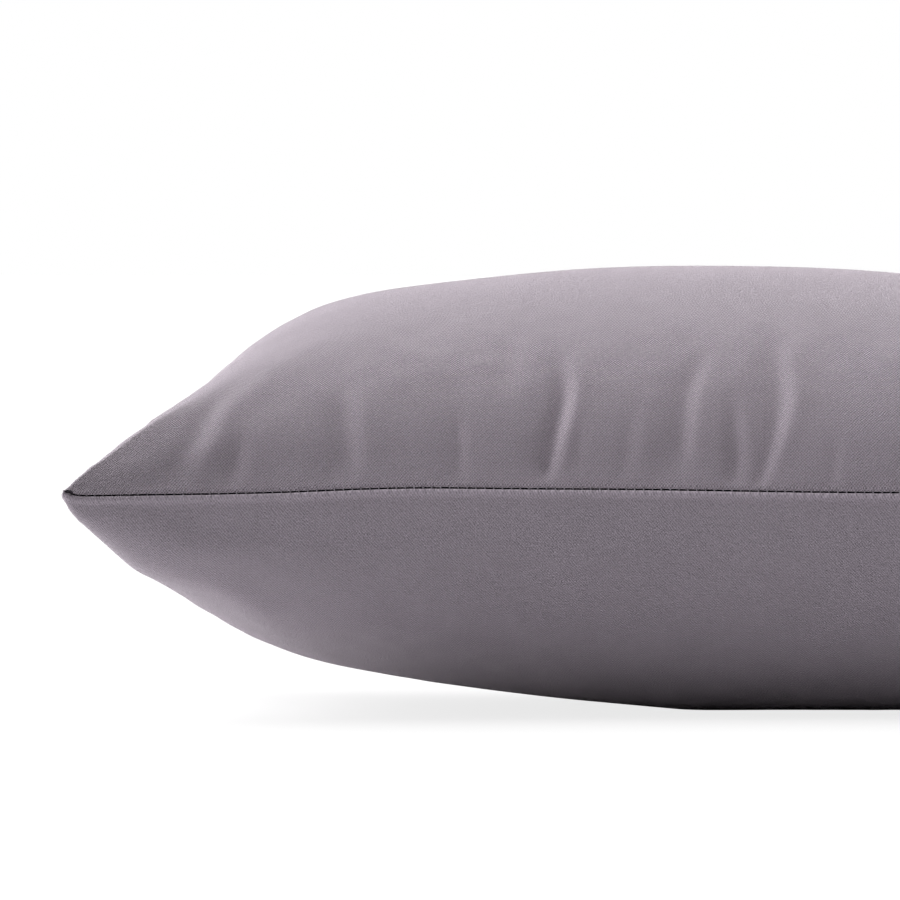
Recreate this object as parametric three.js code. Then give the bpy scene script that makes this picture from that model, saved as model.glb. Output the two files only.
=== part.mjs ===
// Outdoor lumbar pillow lying on its back: two plain panels sewn edge to edge around a soft fill.
// Millimetres, +Z up, X along the pillow. The origin is under the middle, on the surface it lies on.
import * as THREE from 'three';

// Driving sizes
const SEAM_LENGTH = 496; // corner to corner along X
const SEAM_WIDTH = 298; // corner to corner along Y
const CROWN_RISE = 78.3; // from the seam up to the crown
const REST_DEPTH = 79.8; // from the seam down to the surface
const CORNER_BLUNT = 4.9; // how far each sewn corner is drawn back along X and along Y
const CORNER_REACH = 9.3; // how far along the cloth that drawing back is felt
const CORNER_SLACK = 0.2; // share of the face's rise that is missing at a corner
const SLACK_REACH = 77; // how far along the cloth that slack is felt
const FOLD_REACH = 75; // how far along the cloth a corner's sharp fold is felt
const COLOUR = 0x7d767e; // mauve grey cloth

// The cross section of both panels: 2 is a parabola, more is fuller at the sides
const CROSS_ROUNDNESS = 2.08;

// Each panel's swell. shift moves its highest place along X, as a share of half the length.
// bow curves it from end to end, roundness fills its ends and cornerFill its corners.
// cornerFold sharpens the fold that runs up from each corner.
// flatX and flatY are the swell past the surface that presses it flat, softX and softY the easing.
const FACE = {
  rise: CROWN_RISE,
  side: 1,
  shift: -0.096,
  bow: 0.2,
  roundness: 3.3,
  cornerFill: 3.0,
  cornerFold: 7.0,
  flatX: 0,
  softX: 0,
  flatY: 0,
  softY: 0,
};
const BACK = {
  rise: REST_DEPTH,
  side: -1,
  shift: 0.229,
  bow: 0.35,
  roundness: 10.5,
  cornerFill: 2.9,
  cornerFold: 0,
  flatX: 0.039,
  softX: 0.006,
  flatY: 0.088,
  softY: 0.06,
};

// The mean of the two panels' swell, which draws the sewn edge in
const MEAN_BOW = (FACE.bow + BACK.bow) / 2;
const MEAN_ROUNDNESS = (FACE.roundness + BACK.roundness) / 2;
const MEAN_RISE = (CROWN_RISE + REST_DEPTH) / 2;
const STEEPEST = 0.985; // slope of the cloth at the seam, as a sine

// Grid of each panel. Both counts are even, so that a line runs through the middle.
const COLUMNS = 76;
const ROWS = 32;

// Soft raised and sunken places of the face, in mm of cloth from its middle
const SWELLINGS = [
  { along: -160, across: 0, reachX: 30, reachY: 80, rise: 2.8 },
  { along: -95, across: 0, reachX: 36, reachY: 90, rise: -1.1 },
  { along: -204, across: -40, reachX: 12, reachY: 34, rise: -4.0 },
  { along: -204, across: 48, reachX: 12, reachY: 34, rise: -3.2 },
  { along: 165, across: 4, reachX: 50, reachY: 80, rise: 11.0 },
  { along: 203, across: -44, reachX: 12, reachY: 34, rise: -3.4 },
  { along: 204, across: 36, reachX: 12, reachY: 34, rise: -3.8 },
];

// Soft dents that the seam draws into a panel, in mm.
// at is the place along the side from its middle, reach the length into the panel, lean its slant.
const PUCKERS = [
  { panel: FACE, edge: 'front', at: -214, reach: 44, width: 17, depth: 1.6, lean: 19 },
  { panel: FACE, edge: 'front', at: -188, reach: 22, width: 13, depth: 0.9, lean: 2 },
  { panel: FACE, edge: 'front', at: -151, reach: 36, width: 14, depth: 0.9, lean: 1 },
  { panel: FACE, edge: 'front', at: -110, reach: 28, width: 13, depth: 0.6, lean: 1 },
  { panel: FACE, edge: 'front', at: -80, reach: 46, width: 13, depth: 1.1, lean: 5 },
  { panel: FACE, edge: 'front', at: -36, reach: 44, width: 13, depth: 0.9, lean: 4 },
  { panel: FACE, edge: 'front', at: -8, reach: 60, width: 14, depth: 1.2, lean: 7 },
  { panel: FACE, edge: 'front', at: 58, reach: 38, width: 14, depth: 1.0, lean: -4 },
  { panel: FACE, edge: 'front', at: 108, reach: 46, width: 14, depth: 1.1, lean: -5 },
  { panel: FACE, edge: 'front', at: 160, reach: 30, width: 14, depth: 0.8, lean: -2 },
  { panel: FACE, edge: 'front', at: 210, reach: 42, width: 17, depth: 1.5, lean: -17 },
  { panel: FACE, edge: 'rear', at: -212, reach: 42, width: 17, depth: 1.5, lean: 18 },
  { panel: FACE, edge: 'rear', at: -160, reach: 34, width: 14, depth: 0.9, lean: -4 },
  { panel: FACE, edge: 'rear', at: -92, reach: 44, width: 14, depth: 1.1, lean: 4 },
  { panel: FACE, edge: 'rear', at: -28, reach: 38, width: 13, depth: 0.9, lean: -3 },
  { panel: FACE, edge: 'rear', at: 46, reach: 50, width: 14, depth: 1.2, lean: 5 },
  { panel: FACE, edge: 'rear', at: 132, reach: 40, width: 14, depth: 1.0, lean: 3 },
  { panel: FACE, edge: 'rear', at: 213, reach: 44, width: 17, depth: 1.6, lean: -18 },
  { panel: FACE, edge: 'left', at: -58, reach: 34, width: 18, depth: 1.2, lean: 4 },
  { panel: FACE, edge: 'left', at: -14, reach: 40, width: 18, depth: 1.2, lean: 2 },
  { panel: FACE, edge: 'left', at: 34, reach: 38, width: 18, depth: 1.1, lean: -3 },
  { panel: FACE, edge: 'left', at: 78, reach: 28, width: 18, depth: 1.1, lean: -5 },
  { panel: FACE, edge: 'right', at: -66, reach: 32, width: 18, depth: 1.2, lean: 5 },
  { panel: FACE, edge: 'right', at: 4, reach: 36, width: 18, depth: 1.1, lean: 3 },
  { panel: FACE, edge: 'right', at: 62, reach: 30, width: 18, depth: 1.2, lean: -4 },
  { panel: BACK, edge: 'rear', at: -120, reach: 36, width: 15, depth: 0.9, lean: 4 },
  { panel: BACK, edge: 'rear', at: 18, reach: 40, width: 15, depth: 1.0, lean: -4 },
  { panel: BACK, edge: 'rear', at: 104, reach: 34, width: 15, depth: 0.9, lean: 3 },
];
const SEAM_FADE = 7; // dents and swellings fade out this near the seam

// The seam isn't quite level: it lifts a little at these places along X
const SEAM_LIFTS = [
  { at: -128, width: 39, lift: 1.4 },
  { at: -60, width: 65, lift: 1.3 },
  { at: 150, width: 60, lift: 1.2 },
];

// A swell from 0 at both edges to 1 in the middle
function swell(u, bow, roundness) {
  return (1 - bow * u * u) * (1 - Math.abs(u) ** roundness);
}

// Presses a swell flat at 1, with an eased rim
function pressFlat(value, past, soft) {
  const raised = value * (1 + past);
  if (soft === 0) return Math.min(raised, 1);
  const ease = Math.max(soft - Math.abs(raised - 1), 0) / soft;
  return Math.min(raised, 1) - (ease * ease * soft) / 4;
}

// Joins the lengthwise and crosswise swells, so that each rules near its own edges
function joinSwells(along, across, fill) {
  const sum = along ** fill + across ** fill - (along * across) ** fill;
  return sum > 0 ? (along * across) / sum ** (1 / fill) : 0;
}

// Distance along the cloth to the nearest corner
function fromCorner(s, t) {
  return Math.hypot(((1 - Math.abs(s)) * SEAM_LENGTH) / 2, ((1 - Math.abs(t)) * SEAM_WIDTH) / 2);
}

// A panel's height from the seam at s along and t across, both from -1 to 1
function panelRise(panel, s, t) {
  const u = THREE.MathUtils.clamp(s - panel.shift * (1 - s * s), -1, 1);
  const along = pressFlat(swell(u, panel.bow, panel.roundness), panel.flatX, panel.softX);
  const across = pressFlat(swell(t, 0, CROSS_ROUNDNESS), panel.flatY, panel.softY);
  const fold = panel.cornerFold * Math.exp(-((fromCorner(s, t) / FOLD_REACH) ** 2));
  return panel.rise * joinSwells(along, across, panel.cornerFill + fold);
}

function meanRise(s, t) {
  const along = swell(s, MEAN_BOW, MEAN_ROUNDNESS);
  return MEAN_RISE * joinSwells(along, swell(t, 0, CROSS_ROUNDNESS), FACE.cornerFill);
}

// Level length that a thread of the given length covers while it climbs
function levelRun(length, climb) {
  const sine = Math.min(Math.abs(climb) / length, STEEPEST);
  return length * Math.sqrt(1 - sine * sine);
}

const share = (index, count) => (2 * index) / count - 1;

// How far the nearest corner's bluntness draws a point back
function cornerDrawBack(s, t) {
  return CORNER_BLUNT * Math.exp(-fromCorner(s, t) / CORNER_REACH);
}

// The plan of the grid: every thread keeps its length, so the swell draws the sides in
function drawnInPlan() {
  const stepX = SEAM_LENGTH / COLUMNS;
  const stepY = SEAM_WIDTH / ROWS;
  const rise = [];
  for (let i = 0; i <= COLUMNS; i += 1) {
    rise.push([]);
    for (let j = 0; j <= ROWS; j += 1) rise[i].push(meanRise(share(i, COLUMNS), share(j, ROWS)));
  }
  const plan = rise.map((column) => column.map(() => new THREE.Vector2()));
  for (let j = 0; j <= ROWS; j += 1) {
    for (let i = COLUMNS / 2 + 1; i <= COLUMNS; i += 1) {
      plan[i][j].x = plan[i - 1][j].x + levelRun(stepX, rise[i][j] - rise[i - 1][j]);
      plan[COLUMNS - i][j].x = -plan[i][j].x;
    }
  }
  for (let i = 0; i <= COLUMNS; i += 1) {
    for (let j = ROWS / 2 + 1; j <= ROWS; j += 1) {
      plan[i][j].y = plan[i][j - 1].y + levelRun(stepY, rise[i][j] - rise[i][j - 1]);
      plan[i][ROWS - j].y = -plan[i][j].y;
    }
  }
  for (let i = 0; i <= COLUMNS; i += 1) {
    for (let j = 0; j <= ROWS; j += 1) {
      const back = cornerDrawBack(share(i, COLUMNS), share(j, ROWS));
      plan[i][j].x -= Math.sign(plan[i][j].x) * back;
      plan[i][j].y -= Math.sign(plan[i][j].y) * back;
    }
  }
  return plan;
}

function seamLift(x) {
  let lift = 0;
  for (const { at, width, lift: most } of SEAM_LIFTS) lift += most * Math.exp(-(((x - at) / width) ** 2));
  return lift;
}

// Distance into the panel from one side, and place along that side, in mm of cloth
function clothPlace(edge, s, t) {
  const along = (s * SEAM_LENGTH) / 2;
  const across = (t * SEAM_WIDTH) / 2;
  if (edge === 'front') return { into: across + SEAM_WIDTH / 2, along };
  if (edge === 'rear') return { into: SEAM_WIDTH / 2 - across, along };
  if (edge === 'left') return { into: along + SEAM_LENGTH / 2, along: across };
  return { into: SEAM_LENGTH / 2 - along, along: across };
}

// Depth of all dents of a panel at one place of its cloth
function puckerDepth(panel, s, t) {
  let depth = 0;
  for (const pucker of PUCKERS) {
    if (pucker.panel !== panel) continue;
    const { into, along } = clothPlace(pucker.edge, s, t);
    const off = (along - pucker.at - (pucker.lean * into) / pucker.reach) / (pucker.width / 2);
    const fade = Math.exp(-((into / pucker.reach) ** 2)) * Math.min(into / SEAM_FADE, 1);
    depth += pucker.depth * fade * Math.exp(-off * off);
  }
  return depth;
}

// Height that the face's soft swellings and slack corners add at one place of its cloth
function swellingRise(s, t) {
  const along = (s * SEAM_LENGTH) / 2;
  const across = (t * SEAM_WIDTH) / 2;
  const nearest = Math.min(SEAM_LENGTH / 2 - Math.abs(along), SEAM_WIDTH / 2 - Math.abs(across));
  let rise = 0;
  for (const place of SWELLINGS) {
    const offX = (along - place.along) / place.reachX;
    const offY = (across - place.across) / place.reachY;
    rise += place.rise * Math.exp(-offX * offX - offY * offY);
  }
  const slack = CORNER_SLACK * Math.exp(-((fromCorner(s, t) / SLACK_REACH) ** 2));
  return rise * Math.min(nearest / SEAM_FADE, 1) - slack * panelRise(FACE, s, t);
}

// The panel's points, with its dents pushed in square to the cloth
function panelGrid(panel, plan) {
  const smooth = plan.map((column, i) =>
    column.map((place, j) => {
      const rise = panelRise(panel, share(i, COLUMNS), share(j, ROWS));
      const pressed = 1 - rise / panel.rise;
      const lift = seamLift(place.x) * pressed;
      const extra = panel === FACE ? swellingRise(share(i, COLUMNS), share(j, ROWS)) : 0;
      return new THREE.Vector3(place.x, place.y, REST_DEPTH + lift + panel.side * rise + extra);
    })
  );
  return smooth.map((column, i) =>
    column.map((point, j) => {
      if (i === 0 || i === COLUMNS || j === 0 || j === ROWS) return point.clone();
      const alongX = smooth[i + 1][j].clone().sub(smooth[i - 1][j]);
      const alongY = smooth[i][j + 1].clone().sub(smooth[i][j - 1]);
      const inward = alongX.cross(alongY).normalize().multiplyScalar(-panel.side);
      return point.clone().addScaledVector(inward, puckerDepth(panel, share(i, COLUMNS), share(j, ROWS)));
    })
  );
}

// One closed skin: both panels share the points of the sewn edge
function pillowGeometry() {
  const plan = drawnInPlan();
  const positions = [];
  const indices = [];
  const seamIndex = new Map();
  for (const panel of [FACE, BACK]) {
    const grid = panelGrid(panel, plan);
    const index = grid.map((column, i) =>
      column.map((point, j) => {
        const onSeam = i === 0 || i === COLUMNS || j === 0 || j === ROWS;
        const key = `${i} ${j}`;
        if (onSeam && seamIndex.has(key)) return seamIndex.get(key);
        positions.push(point.x, point.y, point.z);
        const number = positions.length / 3 - 1;
        if (onSeam) seamIndex.set(key, number);
        return number;
      })
    );
    for (let i = 0; i < COLUMNS; i += 1) {
      for (let j = 0; j < ROWS; j += 1) {
        const a = index[i][j];
        const b = index[i + 1][j];
        const c = index[i + 1][j + 1];
        const d = index[i][j + 1];
        const rising = i < COLUMNS / 2 === j < ROWS / 2;
        const halves = rising ? [[a, b, c], [a, c, d]] : [[a, b, d], [b, c, d]];
        for (const [p, q, r] of halves) indices.push(...(panel === FACE ? [p, q, r] : [p, r, q]));
      }
    }
  }
  const geometry = new THREE.BufferGeometry();
  geometry.setAttribute('position', new THREE.Float32BufferAttribute(positions, 3));
  geometry.setIndex(indices);
  geometry.computeVertexNormals();
  return geometry;
}

const cloth = new THREE.MeshStandardMaterial({ color: COLOUR, roughness: 0.9, metalness: 0 });
const pillow = new THREE.Mesh(pillowGeometry(), cloth);
pillow.name = 'pillow';

const part = new THREE.Group();
part.add(pillow);

export default part;
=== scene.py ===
# Outdoor lumbar pillow: a filled cover of fine twill, sewn edge to edge, lying on a pale floor.
# Metres, except in the tables, the mesh spacing and the camera's sensor, which are in mm.
# X runs along the pillow.
import math

import bpy
import numpy as np
from mathutils import Matrix, Vector


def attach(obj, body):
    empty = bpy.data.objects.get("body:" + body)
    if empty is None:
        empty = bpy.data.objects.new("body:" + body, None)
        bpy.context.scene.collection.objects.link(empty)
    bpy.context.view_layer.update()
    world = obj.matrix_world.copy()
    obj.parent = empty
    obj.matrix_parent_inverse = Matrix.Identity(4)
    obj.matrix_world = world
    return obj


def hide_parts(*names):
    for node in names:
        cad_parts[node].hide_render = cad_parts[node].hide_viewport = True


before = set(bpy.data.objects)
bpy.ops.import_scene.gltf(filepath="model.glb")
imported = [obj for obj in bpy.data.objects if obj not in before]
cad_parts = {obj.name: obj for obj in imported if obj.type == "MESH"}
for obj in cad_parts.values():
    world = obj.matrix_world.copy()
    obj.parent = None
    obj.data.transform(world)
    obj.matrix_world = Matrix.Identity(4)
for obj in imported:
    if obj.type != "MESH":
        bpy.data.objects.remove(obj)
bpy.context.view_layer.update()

MM = 0.001
PER_METRE = 1000
TINY = 1e-12

# The sewn cover, as in the part's source
HALF_LENGTH = 248 * MM
HALF_WIDTH = 149 * MM
CROWN_RISE = 78.3 * MM
REST_DEPTH = 79.8 * MM
CORNER_BLUNT = 4.9 * MM
CORNER_REACH = 9.3 * MM
CORNER_SLACK = 0.2
SLACK_REACH = 77 * MM
FOLD_REACH = 75 * MM
CROSS_ROUNDNESS = 2.08
STEEPEST = 0.985
SEAM_FADE = 7 * MM

# Each panel's swell: where it peaks, how it bows and how full its ends and corners are,
# then how sharp and how plump its ears are, and how flat it is pressed
FACE = dict(name="face", side=1, rise=CROWN_RISE, shift=-0.096, bow=0.2, roundness=3.3, corner_fill=3.0)
FACE.update(corner_fold=7.0, ear_fold=9.0, ear_plump=0.09)
FACE.update(flat_x=0.0, soft_x=0.0, flat_y=0.0, soft_y=0.0)
BACK = dict(name="back", side=-1, rise=REST_DEPTH, shift=0.229, bow=0.35, roundness=10.5, corner_fill=2.9)
BACK.update(corner_fold=0.0, ear_fold=0.0, ear_plump=0.06)
BACK.update(flat_x=0.039, soft_x=0.006, flat_y=0.088, soft_y=0.06)
MEAN_BOW = (FACE["bow"] + BACK["bow"]) / 2
MEAN_ROUNDNESS = (FACE["roundness"] + BACK["roundness"]) / 2
MEAN_RISE = (CROWN_RISE + REST_DEPTH) / 2

# Places where the long seams lift: along X, half width, height
SEAM_LIFTS = [(-128, 39, 1.4), (-60, 65, 1.3), (150, 60, 1.2)]

# Soft raised and sunken places of the face: along, across, reach along, reach across, rise
SWELLINGS = [
    (-160, 0, 30, 80, 2.8),
    (-95, 0, 36, 90, -1.1),
    (-204, -40, 12, 34, -4.0),
    (-204, 48, 12, 34, -0.8),
    (165, 4, 50, 80, 11.0),
    (203, -44, 12, 34, -3.4),
    (204, 36, 12, 34, -3.8),
]

# The back's soft raised place, its values in the same order
BACK_SWELLINGS = [(-168, 0, 26, 110, 1.3)]

# Broad dents that the seam draws in, and one soft roll, which is a dent of negative depth:
# panel, edge, place along it, reach into the panel, width, depth, lean
PUCKERS = [
    ("face", "front", -214, 44, 17, 0.6, 19),
    ("face", "front", -188, 22, 13, 0.9, 2),
    ("face", "front", -151, 36, 14, 0.9, 1),
    ("face", "front", -110, 28, 13, 0.6, 1),
    ("face", "front", -80, 46, 13, 1.1, 5),
    ("face", "front", -36, 44, 13, 0.9, 4),
    ("face", "front", -8, 60, 14, 1.2, 7),
    ("face", "front", 42, 32, 64, -2.0, 0),
    ("face", "front", 58, 38, 14, 1.0, -4),
    ("face", "front", 108, 46, 14, 1.1, -5),
    ("face", "front", 160, 30, 14, 0.8, -2),
    ("face", "front", 210, 42, 17, 1.5, -17),
    ("face", "rear", -212, 42, 17, 1.5, 18),
    ("face", "rear", -160, 34, 14, 0.9, -4),
    ("face", "rear", -92, 44, 14, 1.1, 4),
    ("face", "rear", -28, 38, 13, 0.9, -3),
    ("face", "rear", 46, 50, 14, 1.2, 5),
    ("face", "rear", 132, 40, 14, 1.0, 3),
    ("face", "rear", 213, 44, 17, 1.6, -18),
    ("face", "left", -58, 34, 18, 1.2, 4),
    ("face", "left", -14, 40, 18, 1.2, 2),
    ("face", "left", 34, 38, 18, 1.1, -3),
    ("face", "left", 78, 28, 18, 1.1, -5),
    ("face", "right", -66, 32, 18, 1.2, 5),
    ("face", "right", 4, 36, 18, 1.1, 3),
    ("face", "right", 62, 30, 18, 1.2, -4),
    ("back", "rear", -120, 36, 15, 0.9, 4),
    ("back", "rear", 18, 40, 15, 1.0, -4),
    ("back", "rear", 104, 34, 15, 0.9, 3),
]

# Fine creases, each a hollow with a ridge beside it: panel, edge, slope between the two,
# then the path as distance into the panel, place along the edge and width
CREASES = [
    ("face", "front", 0.30, [
        (1, -203.5, 6.4), (12, -200, 6.4), (20, -196, 6.0), (29, -193, 5.4), (52, -187, 4.6),
    ]),
    ("face", "front", 0.34, [(1, -185.6, 3.2), (12, -182.9, 3.6), (26, -180, 4.0)]),
    ("face", "front", 0.25, [(1, -143.4, 4.4), (16, -144.2, 4.8), (27, -145, 5.2), (50, -147, 5.8)]),
    ("face", "front", 0.28, [(1, -106.2, 2.3), (16, -106.9, 2.5), (32, -107, 3.0)]),
    ("face", "front", 0.15, [(32, -90, 5.0), (50, -88.5, 5.5), (70, -87.5, 6.5)]),
    ("face", "front", 0.72, [
        (2, -77.6, 2.6), (7, -75.8, 3.0), (15, -74.4, 3.4), (23, -72.4, 3.6),
        (30, -70.8, 3.8), (39, -69.6, 4.0), (58, -72, 4.6),
    ]),
    ("face", "front", 0.22, [(3, -66.5, 2.2), (12, -65.5, 2.4), (26, -64.5, 2.6)]),
    ("face", "front", 0.17, [(2, -50.2, 3.2), (17, -47.3, 3.5), (38, -45, 4.0)]),
    ("face", "front", 0.31, [
        (7, -29.8, 3.6), (20, -28.7, 4.0), (36, -27.1, 4.2), (44, -24.8, 4.4), (64, -17.8, 5.2),
    ]),
    ("face", "front", 0.44, [
        (0, -12.8, 3.4), (4, -11.8, 3.6), (11, -10.4, 3.8), (21, -11.0, 3.8), (40, -12.4, 4.0),
    ]),
    ("face", "front", 0.44, [
        (0, -4.6, 2.2), (6, -1.5, 2.6), (12, 0.8, 3.2), (19, 2.5, 3.8),
        (27, 4.7, 4.4), (37, 5.4, 4.8), (50, 4.2, 5.0), (74, 3.6, 5.6),
    ]),
    ("face", "front", 0.26, [(0, 21.5, 2.6), (9, 22.5, 2.7), (22, 23.6, 3.2)]),
    ("face", "front", 0.22, [(2, 62, 3.6), (18, 60, 3.6), (40, 57, 3.6)]),
    ("face", "front", 0.19, [(2, 86, 3.0), (22, 86, 3.0)]),
    ("face", "front", 0.26, [(2, 112, 3.6), (20, 108, 3.6), (44, 106, 3.6)]),
    ("face", "front", 0.14, [(3, 163, 4.0), (30, 161, 4.0)]),
    ("face", "front", 0.29, [(2, 216, 6.5), (13, 210, 6.5), (29, 204, 6.5), (45, 198, 6.5)]),
    ("face", "left", 0.50, [(2, -113, 4.0), (18, -110, 4.0), (38, -104, 4.0)]),
    ("face", "left", 0.50, [(2, -90, 4.0), (20, -88, 4.0), (44, -82, 4.0)]),
    ("face", "left", 0.45, [(2, -62, 4.5), (24, -60, 4.5), (52, -56, 4.5)]),
    ("face", "left", 0.40, [(2, -33, 4.5), (24, -33, 4.5), (58, -30, 4.5)]),
    ("face", "left", 0.23, [(2, 8, 4.0), (22, 7, 4.0), (44, 6, 4.0)]),
    ("face", "left", 0.26, [(2, 46, 4.0), (22, 44, 4.0), (50, 40, 4.0)]),
    ("face", "left", 0.23, [(2, 90, 4.0), (20, 88, 4.0), (38, 82, 4.0)]),
    ("face", "right", 0.23, [(2, -96, 4.0), (20, -92, 4.0), (40, -86, 4.0)]),
    ("face", "right", 0.26, [(2, -50, 4.5), (22, -48, 4.5), (50, -44, 4.5)]),
    ("face", "right", 0.23, [(2, 14, 4.0), (24, 13, 4.0), (46, 12, 4.0)]),
    ("face", "right", 0.23, [(2, 72, 4.5), (20, 68, 4.5), (44, 62, 4.5)]),
    ("face", "rear", 0.29, [(2, -214, 6.5), (13, -208, 6.5), (29, -202, 6.5), (45, -196, 6.5)]),
    ("face", "rear", 0.21, [(2, -150, 3.6), (18, -152, 3.6), (36, -154, 3.6)]),
    ("face", "rear", 0.29, [(2, -88, 3.2), (18, -85, 3.2), (40, -83, 3.2)]),
    ("face", "rear", 0.22, [(2, -24, 3.2), (34, -26, 3.2)]),
    ("face", "rear", 0.28, [(2, 50, 4.0), (18, 54, 4.0), (44, 56, 4.0)]),
    ("face", "rear", 0.20, [(2, 92, 3.0), (20, 92, 3.0)]),
    ("face", "rear", 0.23, [(2, 137, 3.6), (34, 139, 3.6)]),
    ("face", "rear", 0.29, [(2, 216, 6.5), (13, 211, 6.5), (29, 204, 6.5), (45, 199, 6.5)]),
    ("back", "rear", 0.19, [(2, -116, 3.6), (30, -113, 3.6)]),
    ("back", "rear", 0.22, [(2, 22, 3.6), (34, 19, 3.6)]),
    ("back", "rear", 0.19, [(2, 108, 3.6), (28, 110, 3.6)]),
    ("back", "left", 0.17, [(2, -40, 4.0), (30, -38, 4.0)]),
    ("back", "left", 0.17, [(2, 52, 4.0), (30, 49, 4.0)]),
    ("back", "right", 0.17, [(2, -30, 4.0), (30, -29, 4.0)]),
    ("back", "right", 0.17, [(2, 44, 4.0), (30, 41, 4.0)]),
]

# A crease begins over some of its widths and dies away over a share of its length.
# It is more hollow than ridge, and its bends are rounded over a few mm
CREASE_BEGIN = 1.7
CREASE_END = 0.5
CREASE_HOLLOW = 0.5
BEND_REACH = 4

# Spacing of the fine cloth mesh in mm, with close rows beside the seams
STEP_ALONG = 1.35
STEP_ACROSS = 2.6
SEAM_ROWS = (0, 0.25, 0.5, 0.8, 1.15, 1.6, 2.2, 3.0, 4.1)

# The sewn edge: both panels turn in over a narrow slit, and its corners turn up a little
GROOVE_DEPTH = 3.0 * MM
LIP_WIDTH = 1.6 * MM
LIP_START = 0.3
LIP_CURL = 3
# Faces nearer the seam than SLIT_INSIDE get the slit's near-black painted shade
SLIT_INSIDE = 0.5 * MM
SLIT_HALF = 0.27 * MM
SLIT_OPENS = 0.2
RELIEF_FADE = 3 * MM
TIP_LIFT = 1.9 * MM
TIP_REACH = 5 * MM

# The back panel's folded edge is a bead just below the slit
BEAD = 1.0 * MM
BEAD_AT = 1.2 * MM
BEAD_WIDTH = 0.9 * MM

# Each corner stands out as a plump ear. The face's ears have two flat sides and a ridge,
# which is sharpest some way from the tip
EAR_START = 40 * MM
PLUMP_AT = 40 * MM
PLUMP_REACH = 20 * MM
EAR_HOLLOW = 0.06
EAR_LEAN = 1.4
EAR_REACH = 75 * MM

# The turned-in allowance shows through the back panel as a faint step
ALLOWANCE = 9 * MM
ALLOWANCE_STEP = 0.22 * MM
ALLOWANCE_EDGE = 1.5 * MM

# Stitches that cross the slit, sunk near the corners and each a little askew
STITCH_PITCH = 3.05 * MM
STITCH_LOOP = 0.5 * MM
STITCH_IN = 0.75 * MM
STITCH_END = 4 * MM
STITCH_SINK = 0.9 * MM
SINK_REACH = 45 * MM
STITCH_UNEVEN = 0.09 * MM
UNEVEN_TURN = 1.7
STITCH_SLANT = 0.25
SLANT_WAVES = [(0.2, 2.4), (0.12, 0.71)]
STITCH_CUT = 0.2
RING_PARTS = 14
THREAD_SIDES = 6
THREAD_RADIUS = 0.24 * MM

# The cover is filled by simulation, with a little spare cloth gathered at its seams
SETTLE_COLUMNS = 100
SETTLE_ROWS = 60
SETTLE_FRAMES = 20
SETTLE_PRESSURE = 4.0
SETTLE_BLUR = 16 * MM
SETTLE_CAP = 1.4 * MM
SETTLE_REACH = 75 * MM
SEAM_BLEND = 40 * MM
GATHER = 0.025
BACK_GATHER = 0.3
GATHER_REACH = 22 * MM
ON_SEAM = 0.1 * MM
WELD = 0.001 * MM

# The twill: its yarns in a metre, the shade and highlight painted on its gathers and how far they stand
# out, and a few specks of lint
YARN_FINE = 2400
YARN_LONG = 60
GATHER_PAINTED_SHADE = 0.4
GATHER_RELIEF = 0.8 * MM
LINT_CELLS = 0.11
LINT_RARE = 0.55
LINT_LEAST = 0.35
LINT_PALER = 0.9

# The studio: a pale floor, and soft lights by name, direction, spread in degrees and strength
FLOOR_SIZE = 80
FLOOR_BOUNCE = 0.83
FLOOR_SEEN = 0.9
FLOOR_GLOW = 0.8
DOME_LIGHT = 0.01
LIGHT_AWAY = 3
PANEL_LIGHTS = [
    ("top_panel_light", (-0.48, 0.12, 0.86), 70, 3.55),
    ("rear_panel_light", (-0.35, 0.8, 0.5), 60, 3.2),
    ("left_panel_light", (-0.87, -0.12, 0.48), 40, 1.7),
]

# The camera: a long lens almost level with the seam, turned on the near left corner
CAMERA_RISE = math.radians(1.5)
CAMERA_AWAY = 2.8
LOOK_ALONG = -111.2 * MM
LOOK_ABOVE = 12.0 * MM
NEAR_SEAM_AWAY = 2.67
SEEN_WIDTH = 308.7 * MM
SENSOR = 36


def deselect_all():
    bpy.ops.object.select_all(action="DESELECT")


def smooth_step(value):
    """A soft step from 0 at 0 to 1 at 1."""
    value = np.clip(value, 0, 1)
    return value * value * (3 - 2 * value)


def bell(value):
    """A soft hump, 1 at 0 and fading both ways."""
    return np.exp(-value * value)


def swell(u, bow, roundness):
    """A rise from 0 at both edges to 1 in the middle."""
    return (1 - bow * u * u) * (1 - np.abs(u) ** roundness)


def press_flat(value, past, soft):
    """A swell pressed flat at 1, with an eased rim."""
    raised = value * (1 + past)
    if soft == 0:
        return np.minimum(raised, 1)
    ease = np.maximum(soft - np.abs(raised - 1), 0) / soft
    return np.minimum(raised, 1) - ease * ease * soft / 4


def join_swells(along, across, fill):
    """The lengthwise and crosswise swells together, each ruling near its own edges."""
    total = along ** fill + across ** fill - (along * across) ** fill
    return along * across / np.maximum(total, TINY) ** (1 / fill)


def panel_rise(panel, s, t):
    """A panel's height from the seam at s along and t across, both from -1 to 1."""
    u = np.clip(s - panel["shift"] * (1 - s * s), -1, 1)
    along = press_flat(swell(u, panel["bow"], panel["roundness"]), panel["flat_x"], panel["soft_x"])
    across = press_flat(swell(t, 0, CROSS_ROUNDNESS), panel["flat_y"], panel["soft_y"])
    corner = np.hypot((1 - np.abs(s)) * HALF_LENGTH, (1 - np.abs(t)) * HALF_WIDTH)
    sharper = panel["corner_fold"] + panel["ear_fold"] * smooth_step(corner / EAR_START)
    fold = sharper * bell(corner / FOLD_REACH)
    plump = 1 + panel["ear_plump"] * bell((corner - PLUMP_AT) / PLUMP_REACH)
    return panel["rise"] * plump * join_swells(along, across, panel["corner_fill"] + fold)


def level_run(length, climb):
    """Level length that a thread of the given length covers while it climbs."""
    sine = np.minimum(np.abs(climb) / length, STEEPEST)
    return length * np.sqrt(1 - sine * sine)


def from_corner(along, across):
    """Distance along the cloth to the nearest corner."""
    return np.hypot((HALF_LENGTH - np.abs(along))[:, None], (HALF_WIDTH - np.abs(across))[None, :])


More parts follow.
